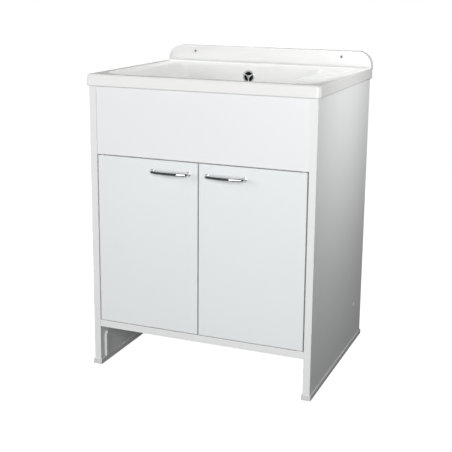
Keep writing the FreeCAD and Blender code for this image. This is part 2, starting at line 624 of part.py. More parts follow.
def make_door(side_name, side):
    """A door leaf with everything that turns with it. side is -1 for the left door, 1 for the right one."""
    left = d.door_gap / 2 if side > 0 else -d.door_gap / 2 - door_width
    at = (left, front, door_foot)
    door = board(f"{side_name}_door", "XZ_Plane", at, (door_width, d.board, door_height))
    soften(door, d.edge_round, lambda box: flat_at(0, box.YMin, box.YMax))
    pin_hole = [(side * pivot_x - left, pivot_y - front)]
    pin_deep = d.pin_in_door + d.hole_room
    drill(door, "XY_Plane", pin_hole, d.pin_radius + d.fit_gap, 0, pin_deep)
    drill(door, "XY_Plane", pin_hole, d.pin_radius + d.fit_gap, door_height - pin_deep, pin_deep)
    feet = [side * handle_near, side * (handle_near + d.handle_span)]
    drill(door, "XZ_Plane", [(x - left, handle_z - door_foot) for x in feet],
          d.handle_screw_radius + d.fit_gap, 0, d.board)
    drill(door, "XZ_Plane", [(side * catch_x - left, strike_screw_z - door_foot)],
          d.catch_screw_radius + d.fit_gap, d.board - d.catch_screw_hole,
          d.catch_screw_hole)

    pin, collar, inside = d.pin_radius, d.pin_radius + d.pin_collar_width, -d.pin_in_door
    pin_profile = [(0, inside), (pin, inside), (pin, 0), (collar, 0), (collar, d.pin_collar),
                   (pin, d.pin_collar), (pin, d.pin_reach - d.pin_point), (pin - d.pin_point, d.pin_reach),
                   (0, d.pin_reach)]
    pins = [turned("pivot_pin", (side * pivot_x, pivot_y, d.door_top), UP, pin_profile),
            turned("pivot_pin", (side * pivot_x, pivot_y, door_foot), DOWN, pin_profile)]
    group(f"{side_name}_pivot_pins", pins)

    make_handle(f"{side_name}_handle", min(feet))
    head, shank, crown = d.screw_head, d.handle_screw_radius, -d.screw_head_height
    reach = d.board + d.handle_screw_grip
    screw_profile = [(0, crown), (head * 0.6, crown), (head, crown / 2), (head, 0), (shank, 0),
                     (shank, reach), (0, reach)]
    screws = [turned("handle_screw", (x, front + d.board, handle_z), FRONT, screw_profile) for x in feet]
    group(f"{side_name}_handle_screws", screws)

    strike = board(f"{side_name}_strike_plate", "XZ_Plane",
                   (side * catch_x - strike_width / 2, strike_y, strike_foot),
                   (strike_width, d.strike_thickness, d.strike_height))
    soften(strike, d.strike_corner, lambda box: max(box.XLength, box.ZLength) < 0.01)
    drill(strike, "XZ_Plane", [(strike_width / 2, strike_screw_z - strike_foot)],
          d.catch_screw_radius + d.fit_gap, 0, d.strike_thickness)
    screw = small_screw(side * catch_x, strike_y + d.strike_thickness, strike_screw_z)
    group(f"{side_name}_strike_screw", [screw])


def small_screw(x, y, z):
    """A short pan-head screw driven forwards."""
    shank, head, crown = d.catch_screw_radius, d.catch_screw_radius * 2, -d.catch_screw_head
    profile = [(0, crown), (head * 0.6, crown), (head, crown / 2), (head, 0), (shank, 0),
               (shank, d.catch_screw_length - d.catch_screw_point), (0, d.catch_screw_length)]
    return turned("small_screw", (x, y, z), FRONT, profile)


def make_handle(label, left_foot):
    """A round bar bent to a bow between two feet, in front of the door."""
    body = new_body(label, (left_foot, front, handle_z))
    span, bend, post = d.handle_span, d.handle_bend, d.handle_post
    crest = d.handle_bar - d.handle_reach
    path = new_sketch(body, "XY_Plane")
    bow_path(path, span, bend, post, crest)
    section = new_sketch(body, "XZ_Plane")
    circle(section, 0, 0, d.handle_bar)
    edges = [f"Edge{n}" for n in range(1, 6)]
    feature(body, "AdditivePipe", Profile=section, Spine=(path, edges))
    feet = new_sketch(body, "XZ_Plane")
    circle(feet, 0, 0, d.handle_foot)
    circle(feet, span, 0, d.handle_foot)
    pad(body, feet, d.handle_foot / 2, backwards=True)
    deep = d.handle_screw_grip + d.hole_room
    drill(body, "XZ_Plane", [(0, 0), (span, 0)], d.handle_screw_radius + d.fit_gap / 2, -deep, deep)
    return keep(body, label)


def bow_path(sketch, span, bend, post, crest):
    """Two straight posts, two tight bends and one wide bow between them, all tangent."""
    run = span / 2 - bend
    rise = -crest - post
    bow = (run * run + rise * rise - bend * bend) / (2 * (rise - bend))
    bow_centre = FreeCAD.Vector(span / 2, crest + bow, 0)
    joints = []
    for x in (bend, span - bend):
        centre = FreeCAD.Vector(x, -post, 0)
        joints.append(centre + (centre - bow_centre).normalize() * float(bend))
    foot, head = FreeCAD.Vector(0, 0, 0), FreeCAD.Vector(0, -post, 0)
    far_head, far_foot = FreeCAD.Vector(span, -post, 0), FreeCAD.Vector(span, 0, 0)
    lean = float(bend) * 0.7071
    middles = [FreeCAD.Vector(x, -post - lean, 0) for x in (bend - lean, span - bend + lean)]
    pieces = [Part.LineSegment(foot, head), Part.Arc(head, middles[0], joints[0]),
              Part.Arc(joints[0], FreeCAD.Vector(span / 2, crest, 0), joints[1]),
              Part.Arc(joints[1], middles[1], far_head), Part.LineSegment(far_head, far_foot)]
    for piece in pieces:
        sketch.addGeometry(piece, False)
    for index, meeting in enumerate((head, joints[0], joints[1], far_head)):
        sketch.addConstraint(Sketcher.Constraint("Tangent", index, end_at(sketch, index, meeting),
                                                 index + 1, end_at(sketch, index + 1, meeting)))
    sketch.addConstraint(Sketcher.Constraint("Coincident", 0, 1, -1, 1))
    sketch.addConstraint(Sketcher.Constraint("Vertical", 0))
    sketch.addConstraint(Sketcher.Constraint("Vertical", 4))
    hold(sketch, "DistanceY", -1, 1, 0, 2, -post)
    hold(sketch, "DistanceY", -1, 1, 4, 1, -post)
    hold(sketch, "DistanceX", -1, 1, 4, 2, span)
    hold(sketch, "DistanceY", -1, 1, 4, 2, 0)
    hold(sketch, "Radius", 1, bend)
    hold(sketch, "Radius", 3, bend)
    hold(sketch, "Radius", 2, bow)


def end_at(sketch, index, point):
    """Which end of a piece of the sketch lies at a point: 1 for its start, 2 for its end."""
    return 1 if sketch.getPoint(index, 1).distanceToPoint(point) < 0.01 else 2


def make_pivot_bushes():
    inner, bush, flange = d.pin_radius + d.running_gap, d.bush_radius, d.bush_flange
    profile = [(inner, -d.bush_flange_thickness), (flange, -d.bush_flange_thickness), (flange, 0), (bush, 0),
               (bush, d.bush_length), (inner, d.bush_length)]
    bushes = []
    for side in (-1, 1):
        bushes.append(turned("pivot_bush", (side * pivot_x, pivot_y, panel_foot), UP, profile))
        bushes.append(turned("pivot_bush", (side * pivot_x, pivot_y, d.shelf_top), DOWN, profile))
    group("pivot_bushes", bushes)


def make_catches():
    """A magnetic catch behind the top of each door, screwed to the back of the front panel."""
    for side_name, side in (("left", -1), ("right", 1)):
        at = (side * catch_x - d.catch_width / 2, catch_y, d.door_top - d.catch_lap)
        body = new_body(f"{side_name}_catch", at)
        outline = new_sketch(body, "YZ_Plane")
        polygon(outline, [(0, 0), (d.catch_depth, 0), (d.catch_depth, d.catch_lap + d.catch_mouth),
                          (d.catch_depth / 2, d.catch_height), (0, d.catch_height)])
        pad(body, outline, d.catch_width)
        holes = [(d.catch_width / 2 + step * catch_screw_step, d.catch_height - d.catch_screw_drop)
                 for step in (-1, 1)]
        drill(body, "XZ_Plane", holes, d.catch_screw_radius + d.fit_gap, 0, d.catch_depth)
        drill(body, "XZ_Plane", holes, d.catch_screw_radius * 2 + d.fit_gap, d.catch_web, d.catch_depth)
        keep(body, f"{side_name}_catch")
    screws = [small_screw(x, catch_y + d.catch_web, z) for x, z in catch_screw_places]
    group("catch_screws", screws)


# Overflow, drain and trap, all in the bowl's middle plane ------------------------------------------

plumb_x = bowl_middle
overflow_z = d.rim_height - d.overflow_drop
elbow_y = tub_front + overflow_back + d.seal_thickness
pipe_y = elbow_y + d.elbow_reach / 2
pipe_inner = d.overflow_pipe_radius - d.pipe_wall
socket = d.overflow_pipe_radius + d.fit_gap
elbow_outer = d.overflow_opening + d.elbow_wall
pipe_top = overflow_z - elbow_outer - d.join
socket_foot = overflow_z - elbow_outer - d.socket_depth

strainer_z = floor_height - d.seat_depth
body_top = d.rim_height + boss_under - d.seal_thickness
inlet_z = body_top - d.inlet_drop
inlet_reach = d.strainer_flange + d.inlet_stub
inlet_end = drain_y + inlet_reach
bridge_foot = body_top - d.bridge_drop
neck_end = body_top - d.drain_body_drop - d.neck_length
tail_bore = d.tail_radius - d.pipe_sheet
trap_top = neck_end - d.trap_drop + d.trap_grip
outlet_z = trap_top - d.outlet_drop - d.outlet_axis_drop
outlet_mouth = drain_y + d.trap_radius + d.outlet_stub
outlet_thread = d.outlet_radius + d.outlet_thread_wall


def make_overflow():
    # grille: a ring in the seat of the back wall, with three spokes and a hub for its screw
    ring_back = tub_front + overflow_face
    body = new_body("overflow_grille", (plumb_x, ring_back, overflow_z))
    outline = new_sketch(body, "XZ_Plane", -d.grille_thickness)
    circle(outline, 0, 0, d.overflow_ring)
    circle(outline, 0, 0, d.overflow_opening)
    pad(body, outline, d.grille_thickness)
    soften(body, d.grille_round, lambda box: flat_at(-d.grille_thickness, box.YMin, box.YMax)
           and box.XLength > 2 * d.overflow_opening + d.join)
    spoke = new_sketch(body, "XZ_Plane", -d.grille_thickness * 0.8)
    rectangle(spoke, -d.spoke_width / 2, d.spoke_width / 2, -d.overflow_opening - d.join, 0)
    pad(body, spoke, d.grille_thickness * 0.6)
    turned_spokes = feature(body, "PolarPattern", Originals=[body.Tip], Occurrences=3, Angle=360,
                            Axis=(spoke, ["N_Axis"]))
    body.Tip = turned_spokes
    hub = new_sketch(body, "XZ_Plane", -d.grille_thickness)
    circle(hub, 0, 0, d.grille_hub)
    pad(body, hub, d.grille_thickness)
    drill(body, "XZ_Plane", [(0, 0)], d.overflow_screw_radius + d.fit_gap, -d.grille_thickness,
          d.grille_thickness)
    keep(body, "overflow_grille")

    shank, head, crown = d.overflow_screw_radius, d.grille_hub - d.grille_round, -d.overflow_screw_head
    reach = d.grille_thickness + d.tub_wall + d.seal_thickness + d.overflow_screw_grip
    profile = [(0, crown), (head * 0.6, crown), (head, crown / 3), (head, 0), (shank, 0), (shank, reach),
               (0, reach)]
    keep(turned("overflow_screw", (plumb_x, ring_back - d.grille_thickness, overflow_z), BACK, profile),
         "overflow_screw")
    ring = tube_profile(d.overflow_opening, elbow_outer + d.elbow_lip, 0, d.seal_thickness)
    seal_at = (plumb_x, tub_front + overflow_back, overflow_z)
    keep(turned("overflow_seal", seal_at, BACK, ring), "overflow_seal")

    # elbow: a cup on a flange, with a post for the screw and a socket that points down
    cup, flange = elbow_outer, elbow_outer + d.elbow_lip
    body = turned("overflow_elbow", (plumb_x, elbow_y, overflow_z), BACK,
                  [(0, 0), (flange, 0), (flange, d.elbow_flange), (cup, d.elbow_flange), (cup, d.elbow_reach),
                   (0, d.elbow_reach)])
    # in this body's own frame Z points to the back and Y points down
    centre = [(0, d.elbow_reach / 2)]
    spout = new_sketch(body, "XZ_Plane", 0)
    circle(spout, 0, d.elbow_reach / 2, socket + d.elbow_wall)
    pad(body, spout, overflow_z - socket_foot)
    drill(body, "XY_Plane", [(0, 0)], d.overflow_opening, 0, d.elbow_reach - d.elbow_wall)
    drill(body, "XZ_Plane", centre, pipe_inner, 0, overflow_z - socket_foot)
    drill(body, "XZ_Plane", centre, socket, overflow_z - pipe_top, pipe_top - socket_foot)
    post = new_sketch(body, "XY_Plane", d.elbow_post_start)
    circle(post, 0, 0, d.overflow_screw_radius + d.elbow_wall)
    pad(body, post, d.elbow_reach - d.elbow_wall / 2 - d.elbow_post_start)
    drill(body, "XY_Plane", [(0, 0)], d.overflow_screw_radius + d.fit_gap, d.elbow_post_start,
          d.elbow_post_hole)
    keep(body, "overflow_elbow")


def make_overflow_pipe():
    """A rigid tube that drops behind the bowl and turns forwards under it to the drain body."""
    body = new_body("overflow_pipe", (plumb_x, pipe_y, pipe_top))
    drop, run = pipe_top - inlet_z, pipe_y - inlet_end
    bend = d.pipe_bend
    path = new_sketch(body, "YZ_Plane")
    top, turn_start = FreeCAD.Vector(0, 0, 0), FreeCAD.Vector(0, bend - drop, 0)
    turn_end, mouth = FreeCAD.Vector(-bend, -drop, 0), FreeCAD.Vector(-run, -drop, 0)
    lean = float(bend) * 0.7071
    path.addGeometry(Part.LineSegment(top, turn_start), False)
    turn_middle = FreeCAD.Vector(lean - bend, bend - drop - lean, 0)
    path.addGeometry(Part.Arc(turn_start, turn_middle, turn_end), False)
    path.addGeometry(Part.LineSegment(turn_end, mouth), False)
    for index, meeting in enumerate((turn_start, turn_end)):
        path.addConstraint(Sketcher.Constraint("Tangent", index, end_at(path, index, meeting),
                                               index + 1, end_at(path, index + 1, meeting)))
    path.addConstraint(Sketcher.Constraint("Coincident", 0, 1, -1, 1))
    path.addConstraint(Sketcher.Constraint("Vertical", 0))
    path.addConstraint(Sketcher.Constraint("Horizontal", 2))
    hold(path, "Radius", 1, bend)
    hold(path, "DistanceX", -1, 1, 2, 2, -run)
    hold(path, "DistanceY", -1, 1, 2, 2, -drop)
    section = new_sketch(body, "XY_Plane")
    circle(section, 0, 0, d.overflow_pipe_radius)
    circle(section, 0, 0, pipe_inner)
    feature(body, "AdditivePipe", Profile=section, Spine=(path, ["Edge1", "Edge2", "Edge3"]))
    keep(body, "overflow_pipe")


def make_drain():
    # strainer: a flanged cup of sheet with two rings of holes
    cup, sheet_t = d.drain_radius - d.join, d.strainer_sheet
    hole = d.drain_screw_radius + d.fit_gap
    body = turned("drain_strainer", (plumb_x, drain_y, strainer_z), UP,
                  [(hole, -d.strainer_drop), (cup, -d.strainer_drop), (cup, 0), (d.strainer_flange, 0),
                   (d.strainer_flange, sheet_t * 0.5), (d.strainer_flange - sheet_t, sheet_t),
                   (cup - sheet_t, sheet_t), (cup - sheet_t, sheet_t - d.strainer_drop),
                   (hole, sheet_t - d.strainer_drop)])
    rings = ((d.outer_strainer_hole, cup * 0.74, 12), (d.inner_strainer_hole, cup * 0.43, 6))
    for radius, ring, count in rings:
        first = new_sketch(body, "XY_Plane", -d.strainer_drop)
        circle(first, ring, 0, radius)
        cut = pocket(body, first, sheet_t)
        around = feature(body, "PolarPattern", Originals=[cut], Occurrences=count, Angle=360,
                         Axis=(first, ["N_Axis"]))
        body.Tip = around
    keep(body, "drain_strainer")

    plate_top = strainer_z - d.strainer_drop + sheet_t
    shank, head, crown = d.drain_screw_radius, d.drain_screw_radius * 1.9, -d.drain_screw_head
    reach = plate_top - bridge_foot - d.join
    keep(turned("drain_screw", (plumb_x, drain_y, plate_top), DOWN,
                [(0, crown), (head * 0.6, crown), (head, crown * 0.4), (head, 0), (shank, 0), (shank, reach),
                 (0, reach)]), "drain_screw")
    keep(turned("drain_seal", (plumb_x, drain_y, body_top), UP,
                tube_profile(d.drain_radius, d.strainer_flange, 0, d.seal_thickness)), "drain_seal")

    # drain body: a cup with a threaded neck, a bridge for the screw and a side inlet for the overflow
    flange, shell, neck = d.strainer_flange, d.drain_radius + d.drain_wall, d.neck_radius
    drop, neck_foot = -d.drain_body_drop, neck_end - body_top
    body = turned("drain_body", (plumb_x, drain_y, body_top), UP,
                  [(0, 0), (flange, 0), (flange, -d.drain_flange), (shell, -d.drain_flange), (shell, drop),
                   (neck, drop), (neck, neck_foot), (0, neck_foot)])
    inlet_drop = inlet_z - body_top
    inlet = new_sketch(body, "XZ_Plane", 0)
    circle(inlet, 0, inlet_drop, socket + d.elbow_wall)
    pad(body, inlet, inlet_reach)
    floor = d.drain_flange
    drill(body, "XY_Plane", [(0, 0)], d.drain_radius, drop + floor, d.drain_body_drop - floor)
    drill(body, "XY_Plane", [(0, 0)], neck - d.drain_wall, neck_foot, d.neck_length + floor + d.join)
    drill(body, "XZ_Plane", [(0, inlet_drop)], pipe_inner, 0, inlet_reach)
    drill(body, "XZ_Plane", [(0, inlet_drop)], socket, shell, inlet_reach - shell)
    bridge = new_sketch(body, "XY_Plane", -d.bridge_drop)
    bridge_half, bridge_side = d.drain_radius + d.join, d.drain_screw_radius + d.bridge_side
    rectangle(bridge, -bridge_half, bridge_half, -bridge_side, bridge_side)
    pad(body, bridge, d.bridge_height)
    drill(body, "XY_Plane", [(0, 0)], d.drain_screw_radius + d.fit_gap, -d.bridge_drop, d.bridge_height)
    keep(body, "drain_body")


def nut(label, at, along, thread, pipe, lip):
    """A ribbed union nut: a thread above a lip that holds the pipe's collar, with grip flutes outside."""
    outer, high = thread + d.nut_wall, d.nut_height
    body = turned(label, at, along,
                  [(pipe + d.fit_gap, 0), (outer - d.nut_chamfer, 0), (outer, d.nut_chamfer),
                   (outer, high - d.nut_chamfer), (outer - d.nut_chamfer, high), (thread + d.fit_gap, high),
                   (thread + d.fit_gap, lip), (pipe + d.fit_gap, lip)])
    flute = new_sketch(body, "XY_Plane", d.flute_start)
    circle(flute, outer + d.flute_offset, 0, d.flute_radius)
    cut = pocket(body, flute, high)
    body.Tip = feature(body, "PolarPattern", Originals=[cut], Occurrences=12, Angle=360,
                       Axis=(flute, ["N_Axis"]))
    return keep(body, label)


def make_trap():
    nut_foot = neck_end - d.tail_collar - d.nut_lip - d.running_gap
    nut("tail_nut", (plumb_x, drain_y, nut_foot), UP, d.neck_radius, d.tail_radius, d.nut_lip)
    length, collar = d.tail_length, d.neck_radius - d.collar_gap
    keep(turned("tailpipe", (plumb_x, drain_y, neck_end), DOWN,
                [(tail_bore, 0), (collar, 0), (collar, d.tail_collar), (d.tail_radius, d.tail_collar),
                 (d.tail_radius, length), (tail_bore, length)]), "tailpipe")

    # bottle body, open below, with an inlet neck above and an outlet stub at the back
    neck, shell, height = d.neck_radius, d.trap_radius, d.trap_height
    shoulder, slope = -d.trap_shoulder, d.trap_slope
    body = turned("trap_body", (plumb_x, drain_y, trap_top), UP,
                  [(0, 0), (neck, 0), (neck, shoulder), (shell - slope, shoulder), (shell, shoulder - slope),
                   (shell, shoulder - height), (0, shoulder - height)])
    stub_z = outlet_z - trap_top
    stub = new_sketch(body, "XZ_Plane", 0)
    circle(stub, 0, stub_z, outlet_thread)
    reach, neck_deep = outlet_mouth - drain_y, d.trap_shoulder + d.trap_neck_depth
    pad(body, stub, reach)
    drill(body, "XY_Plane", [(0, 0)], d.tail_radius + d.fit_gap, -neck_deep, neck_deep)
    drill(body, "XY_Plane", [(0, 0)], shell - d.trap_wall, shoulder - height, height - slope)
    drill(body, "XZ_Plane", [(0, stub_z)], d.outlet_radius - d.trap_wall, 0, reach)
    drill(body, "XZ_Plane", [(0, stub_z)], d.outlet_radius + d.fit_gap, reach - d.outlet_grip, d.outlet_grip)
    keep(body, "trap_body")
    nut("trap_nut", (plumb_x, drain_y, trap_top + d.trap_nut_lip), DOWN, neck, d.tail_radius, d.trap_nut_lip)

    # cup: screws over the body from below
    grip, inner, deep = d.cup_grip, shell + d.fit_gap, d.cup_height
    inside = deep - d.cup_wall
    cup_top = trap_top + shoulder - height + deep * 0.55
    body = turned("trap_cup", (plumb_x, drain_y, cup_top), DOWN,
                  [(inner, 0), (grip - d.join, 0), (grip, d.join), (grip, deep - d.cup_base_slope),
                   (grip - d.cup_base_slope, deep), (0, deep), (0, inside), (inner - d.cup_fillet, inside),
                   (inner, inside - d.cup_fillet)])
    flute = new_sketch(body, "XY_Plane", d.cup_flute_start)
    circle(flute, grip + d.flute_offset, 0, d.cup_flute_radius)
    cut = pocket(body, flute, deep)
    body.Tip = feature(body, "PolarPattern", Originals=[cut], Occurrences=16, Angle=360,
                       Axis=(flute, ["N_Axis"]))
    keep(body, "trap_cup")

    nut_end = outlet_mouth + d.trap_nut_lip + d.fit_gap
    nut("outlet_nut", (plumb_x, nut_end, outlet_z), FRONT, outlet_thread, d.outlet_radius, d.trap_nut_lip)
    start = outlet_mouth - d.outlet_grip + d.join
    bead = outlet_mouth + d.outlet_bead_reach - start
    outer, reach = d.outlet_radius, tub_back - start - d.outlet_end_gap
    bore, crest = outer - d.pipe_sheet, outer + d.outlet_bead
    keep(turned("outlet_pipe", (plumb_x, start, outlet_z), BACK,
                [(bore, 0), (outer, 0), (outer, bead), (crest, bead + d.join), (crest, bead + 2 * d.join),
                 (outer, bead + 3 * d.join), (outer, reach), (bore, reach)]), "outlet_pipe")


make_tub()
make_boards()
make_shoe("left_shoe", -d.cabinet_width / 2)
make_shoe("right_shoe", half_inside)
make_plinth_stops()
make_board_fixings()
make_door("left", -1)
make_door("right", 1)
make_pivot_bushes()
make_catches()
make_overflow()
make_overflow_pipe()
make_drain()
make_trap()

doc.recompute()
for thing in doc.Objects:
    if "Invalid" in thing.State or "Error" in thing.State:
        raise RuntimeError(f"{thing.Label} failed: {thing.State}")
for part in parts:
    if part.Shape.isNull() or not part.Shape.isValid():
        raise RuntimeError(f"{part.Label} has no valid shape")

os.makedirs("parts", exist_ok=True)
for part in parts:
    part.Shape.exportStep(f"parts/{part.Label}.step")
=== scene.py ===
import math

import bmesh
import bpy
from mathutils import Euler, Matrix, Vector


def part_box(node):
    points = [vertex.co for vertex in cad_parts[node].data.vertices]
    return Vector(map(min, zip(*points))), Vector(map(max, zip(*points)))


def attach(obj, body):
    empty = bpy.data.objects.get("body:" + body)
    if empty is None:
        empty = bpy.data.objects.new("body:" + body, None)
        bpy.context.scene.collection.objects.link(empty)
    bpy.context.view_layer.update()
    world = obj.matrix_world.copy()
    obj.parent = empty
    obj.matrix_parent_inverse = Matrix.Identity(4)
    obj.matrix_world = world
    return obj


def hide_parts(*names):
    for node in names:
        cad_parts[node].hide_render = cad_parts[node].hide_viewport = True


# Utility laundry sink, 60 x 50 cm. The frame brings every board, moulding and fitting at its real place and
# size. The sections follow the sink as it is put together, from the shoes on the floor up to the tub, and
# then its plumbing. The studio comes last.

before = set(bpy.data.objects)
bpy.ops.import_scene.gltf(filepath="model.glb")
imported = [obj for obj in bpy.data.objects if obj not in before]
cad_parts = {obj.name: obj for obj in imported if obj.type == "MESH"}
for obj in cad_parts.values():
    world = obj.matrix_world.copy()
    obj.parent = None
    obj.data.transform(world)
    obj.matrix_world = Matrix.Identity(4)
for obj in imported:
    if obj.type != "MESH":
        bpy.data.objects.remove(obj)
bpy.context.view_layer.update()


# Shoes ----------------------------------------------------------------------------------------------------
# Two shallow trays under the side boards keep the boards' lower edges off a wet floor. Each is one
# injection moulding in off-white polyethylene, pushed on from below.

def linear(hex_colour):
    """The linear colour of an sRGB hex value such as "f2f2f0"."""
    channels = [int(hex_colour[i:i + 2], 16) / 255 for i in (0, 2, 4)]
    return [c / 12.92 if c <= 0.04045 else ((c + 0.055) / 1.055) ** 2.4 for c in channels] + [1.0]


def plug(node, *in_order, **by_name):
    """Feed a node's inputs, in order or by name, with values, with sockets or with a node's first output."""
    inputs = [socket for socket in node.inputs if socket.enabled]
    named = [(next(s for s in inputs if s.name == name.replace("_", " ")), source)
             for name, source in by_name.items()]
    for socket, source in [*zip(inputs, in_order), *named]:
        if isinstance(source, bpy.types.Node):
            source = next(output for output in source.outputs if output.enabled)
        if isinstance(source, bpy.types.NodeSocket):
            node.id_data.links.new(source, socket)
        else:
            socket.default_value = source


def add_node(tree, kind, *in_order, settings=None, **by_name):
    """A shader node with its settings and with what feeds it."""
    node = tree.nodes.new(f"ShaderNode{kind}")
    for name, value in (settings or {}).items():
        setattr(node, name, value)
    plug(node, *in_order, **by_name)
    return node


def new_material(name, roughness, **uniform):
    """A material's tree, shader and object coordinates. Uniform numbers go on the shader's own sockets."""
    material = bpy.data.materials.new(name)
    material.use_nodes = True
    tree = material.node_tree
    shader = tree.nodes["Principled BSDF"]
    plug(shader, Roughness=roughness, **uniform)
    return material, tree, shader, add_node(tree, "TexCoord").outputs["Object"]


NOISE_LOW, NOISE_HIGH = 0.3, 0.7  # nearly all of a noise lies between these
IN_COLOUR = {"data_type": "RGBA"}  # so that a Mix node mixes colours


def moulded(name, dark, light, roughness, cloud, grain, depth, **uniform):
    """A moulded plastic in soft clouds of two near colours, with a fine skin. Its sizes are in metres."""
    material, tree, shader, place = new_material(name, roughness, **uniform)
    clouds = add_node(tree, "TexNoise", Vector=place, Scale=1 / cloud, Detail=3.0)
    colour = add_node(tree, "Mix", settings=IN_COLOUR, Factor=clouds, A=linear(dark), B=linear(light))
    skin = add_node(tree, "TexNoise", Vector=place, Scale=1 / grain, Detail=2.0)
    gloss = add_node(tree, "MapRange", skin, NOISE_LOW, NOISE_HIGH, roughness - 0.05, roughness + 0.05)
    relief = add_node(tree, "Bump", Strength=0.4, Distance=depth, Height=skin)
    plug(shader, Base_Color=colour, Roughness=gloss, Normal=relief)
    return material


def dress(material, *names):
    """Give CAD nodes one material."""
    for name in names:
        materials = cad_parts[name].data.materials
        materials.clear()
        materials.append(material)


# Polyethylene from a spark-eroded mould: waxy and a little grey, with a soft matt skin.
shoe_plastic = moulded("moulded_polyethylene", "d3d4d4", "dcdddc", 0.5,
                       cloud=0.03, grain=0.0012, depth=0.00005, IOR=1.51)
dress(shoe_plastic, "left_shoe", "right_shoe")


# Side boards ----------------------------------------------------------------------------------------------
# Two uprights of 18 mm chipboard faced with white melamine foil. Their narrow edges are closed by a 1 mm
# plastic band that is glued on hot and trimmed flush, and the front edges are rounded by 1 mm.

def melamine(name, boards, across, dark, light, roughness):
    """Dress like boards in melamine foil with a glue line at the band. Across is the axis through a board."""
    material, tree, shader, place = new_material(name, roughness, IOR=1.55)

    # How far a point lies in from the nearest edge of its face. Through the board no edge is looked for.
    far_off = 9.0
    low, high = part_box(boards[0])
    half_size = (high - low) / 2
    half_size[across] = far_off
    from_middle = add_node(tree, "VectorMath", place, (low + high) / 2, settings={"operation": "SUBTRACT"})
    from_middle = add_node(tree, "VectorMath", from_middle, settings={"operation": "ABSOLUTE"})
    inward = add_node(tree, "VectorMath", half_size, from_middle, settings={"operation": "SUBTRACT"})
    x, y, z = add_node(tree, "SeparateXYZ", inward).outputs
    nearest = add_node(tree, "Math", x, y, settings={"operation": "MINIMUM"})
    nearest = add_node(tree, "Math", nearest, z, settings={"operation": "MINIMUM"})

    # The line of glue behind the 1 mm band, drawn 0.5 mm wide, coarser than a real one, so that it shows.
    band, line, strength = 0.001, 0.0005, 0.35
    from_line = add_node(tree, "Math", nearest, band, settings={"operation": "SUBTRACT"})
    from_line = add_node(tree, "Math", from_line, settings={"operation": "ABSOLUTE"})
    glue = add_node(tree, "MapRange", from_line, line / 4, line / 2, strength, 0.0)

    # The foil's white is a little uneven over 25 cm.
    clouds = add_node(tree, "TexNoise", Vector=place, Scale=1 / 0.25, Detail=2.0)
    foil = add_node(tree, "Mix", settings=IN_COLOUR, Factor=clouds, A=linear(dark), B=linear(light))
    lined = add_node(tree, "Mix", settings=IN_COLOUR, Factor=glue, A=foil, B=linear("a9a8a2"))

    # The press plate leaves a pearl finish, 1.5 mm across, and the chips under the foil slow waves of 4 cm.
    pearl = add_node(tree, "TexNoise", Vector=place, Scale=1 / 0.0015, Detail=1.0)
    gloss = add_node(tree, "MapRange", pearl, NOISE_LOW, NOISE_HIGH, roughness - 0.04, roughness + 0.04)
    chips = add_node(tree, "TexNoise", Vector=place, Scale=1 / 0.04, Detail=1.0)
    waves = add_node(tree, "Bump", Strength=0.15, Distance=0.0002, Height=chips)
    soft_edge = add_node(tree, "Bevel", settings={"samples": 4}, Radius=0.0006, Normal=waves)
    skin = add_node(tree, "Bump", Strength=0.12, Distance=0.00005, Height=pearl, Normal=soft_edge)
    plug(shader, Base_Color=lined, Roughness=gloss, Normal=skin)
    dress(material, *boards)


WIDTH_AXIS, DEPTH_AXIS, HEIGHT_AXIS = 0, 1, 2
SATIN, SMOOTH_SATIN = 0.42, 0.36

# Melamine foil pressed on with a pearled plate: a neutral satin white with a thin grey line at its edges.
melamine("melamine_on_chipboard", ["left_side", "right_side"], WIDTH_AXIS, "e4e5e5", "e8e9e9", SATIN)


# Bottom shelf and rear rails ------------------------------------------------------------------------------
# Three cross boards of the same stuff are dowelled and glued between the sides: the shelf that carries the
# doors, and two narrow rails at the back, where the base stays open for the plumbing.

melamine("melamine_shelf", ["bottom_shelf"], HEIGHT_AXIS, "e5e6e6", "e9eaea", SATIN)
melamine("melamine_upper_rail", ["upper_rear_rail"], DEPTH_AXIS, "e2e3e3", "e7e8e8", SATIN)
melamine("melamine_lower_rail", ["lower_rear_rail"], DEPTH_AXIS, "e2e3e3", "e7e8e8", SATIN)


# Front panel ----------------------------------------------------------------------------------------------
# A false drawer front that covers the bowl, 1.5 mm behind the front edges of the sides, in a slightly
# smoother foil than theirs. It is dowelled to the sides.

melamine("melamine_front_panel", ["front_panel"], DEPTH_AXIS, "e8e9ea", "ebeced", SMOOTH_SATIN)


# Dowels ---------------------------------------------------------------------------------------------------
# Sixteen beech dowels, 8 mm thick, turned and grooved, hold the cross boards. They are glued in blind holes
# and don't show.

# Turned beech: pale and pinkish brown, with a grain of 6 cm along the dowel and 2 mm across it.
beech, tree, shader, place = new_material("turned_beech", 0.6)
along = add_node(tree, "Mapping", Vector=place, Scale=(1 / 0.06, 1 / 0.002, 1 / 0.002))
fibres = add_node(tree, "TexNoise", Vector=along, Scale=1.0, Detail=4.0)
grain = add_node(tree, "ValToRGB", fibres)
for stop, position, colour in zip(grain.color_ramp.elements, (0.35, 0.65), ("b98f63", "d8b58c")):
    stop.position, stop.color = position, linear(colour)
plug(shader, Base_Color=grain)
dress(beech, "dowels")


# Screws through the sides, and their caps -----------------------------------------------------------------
# A zinc-plated chipboard screw on each side pulls the shelf home, and a push-in cap of white plastic hides
# its head. The cap stands 1.2 mm proud of the board.

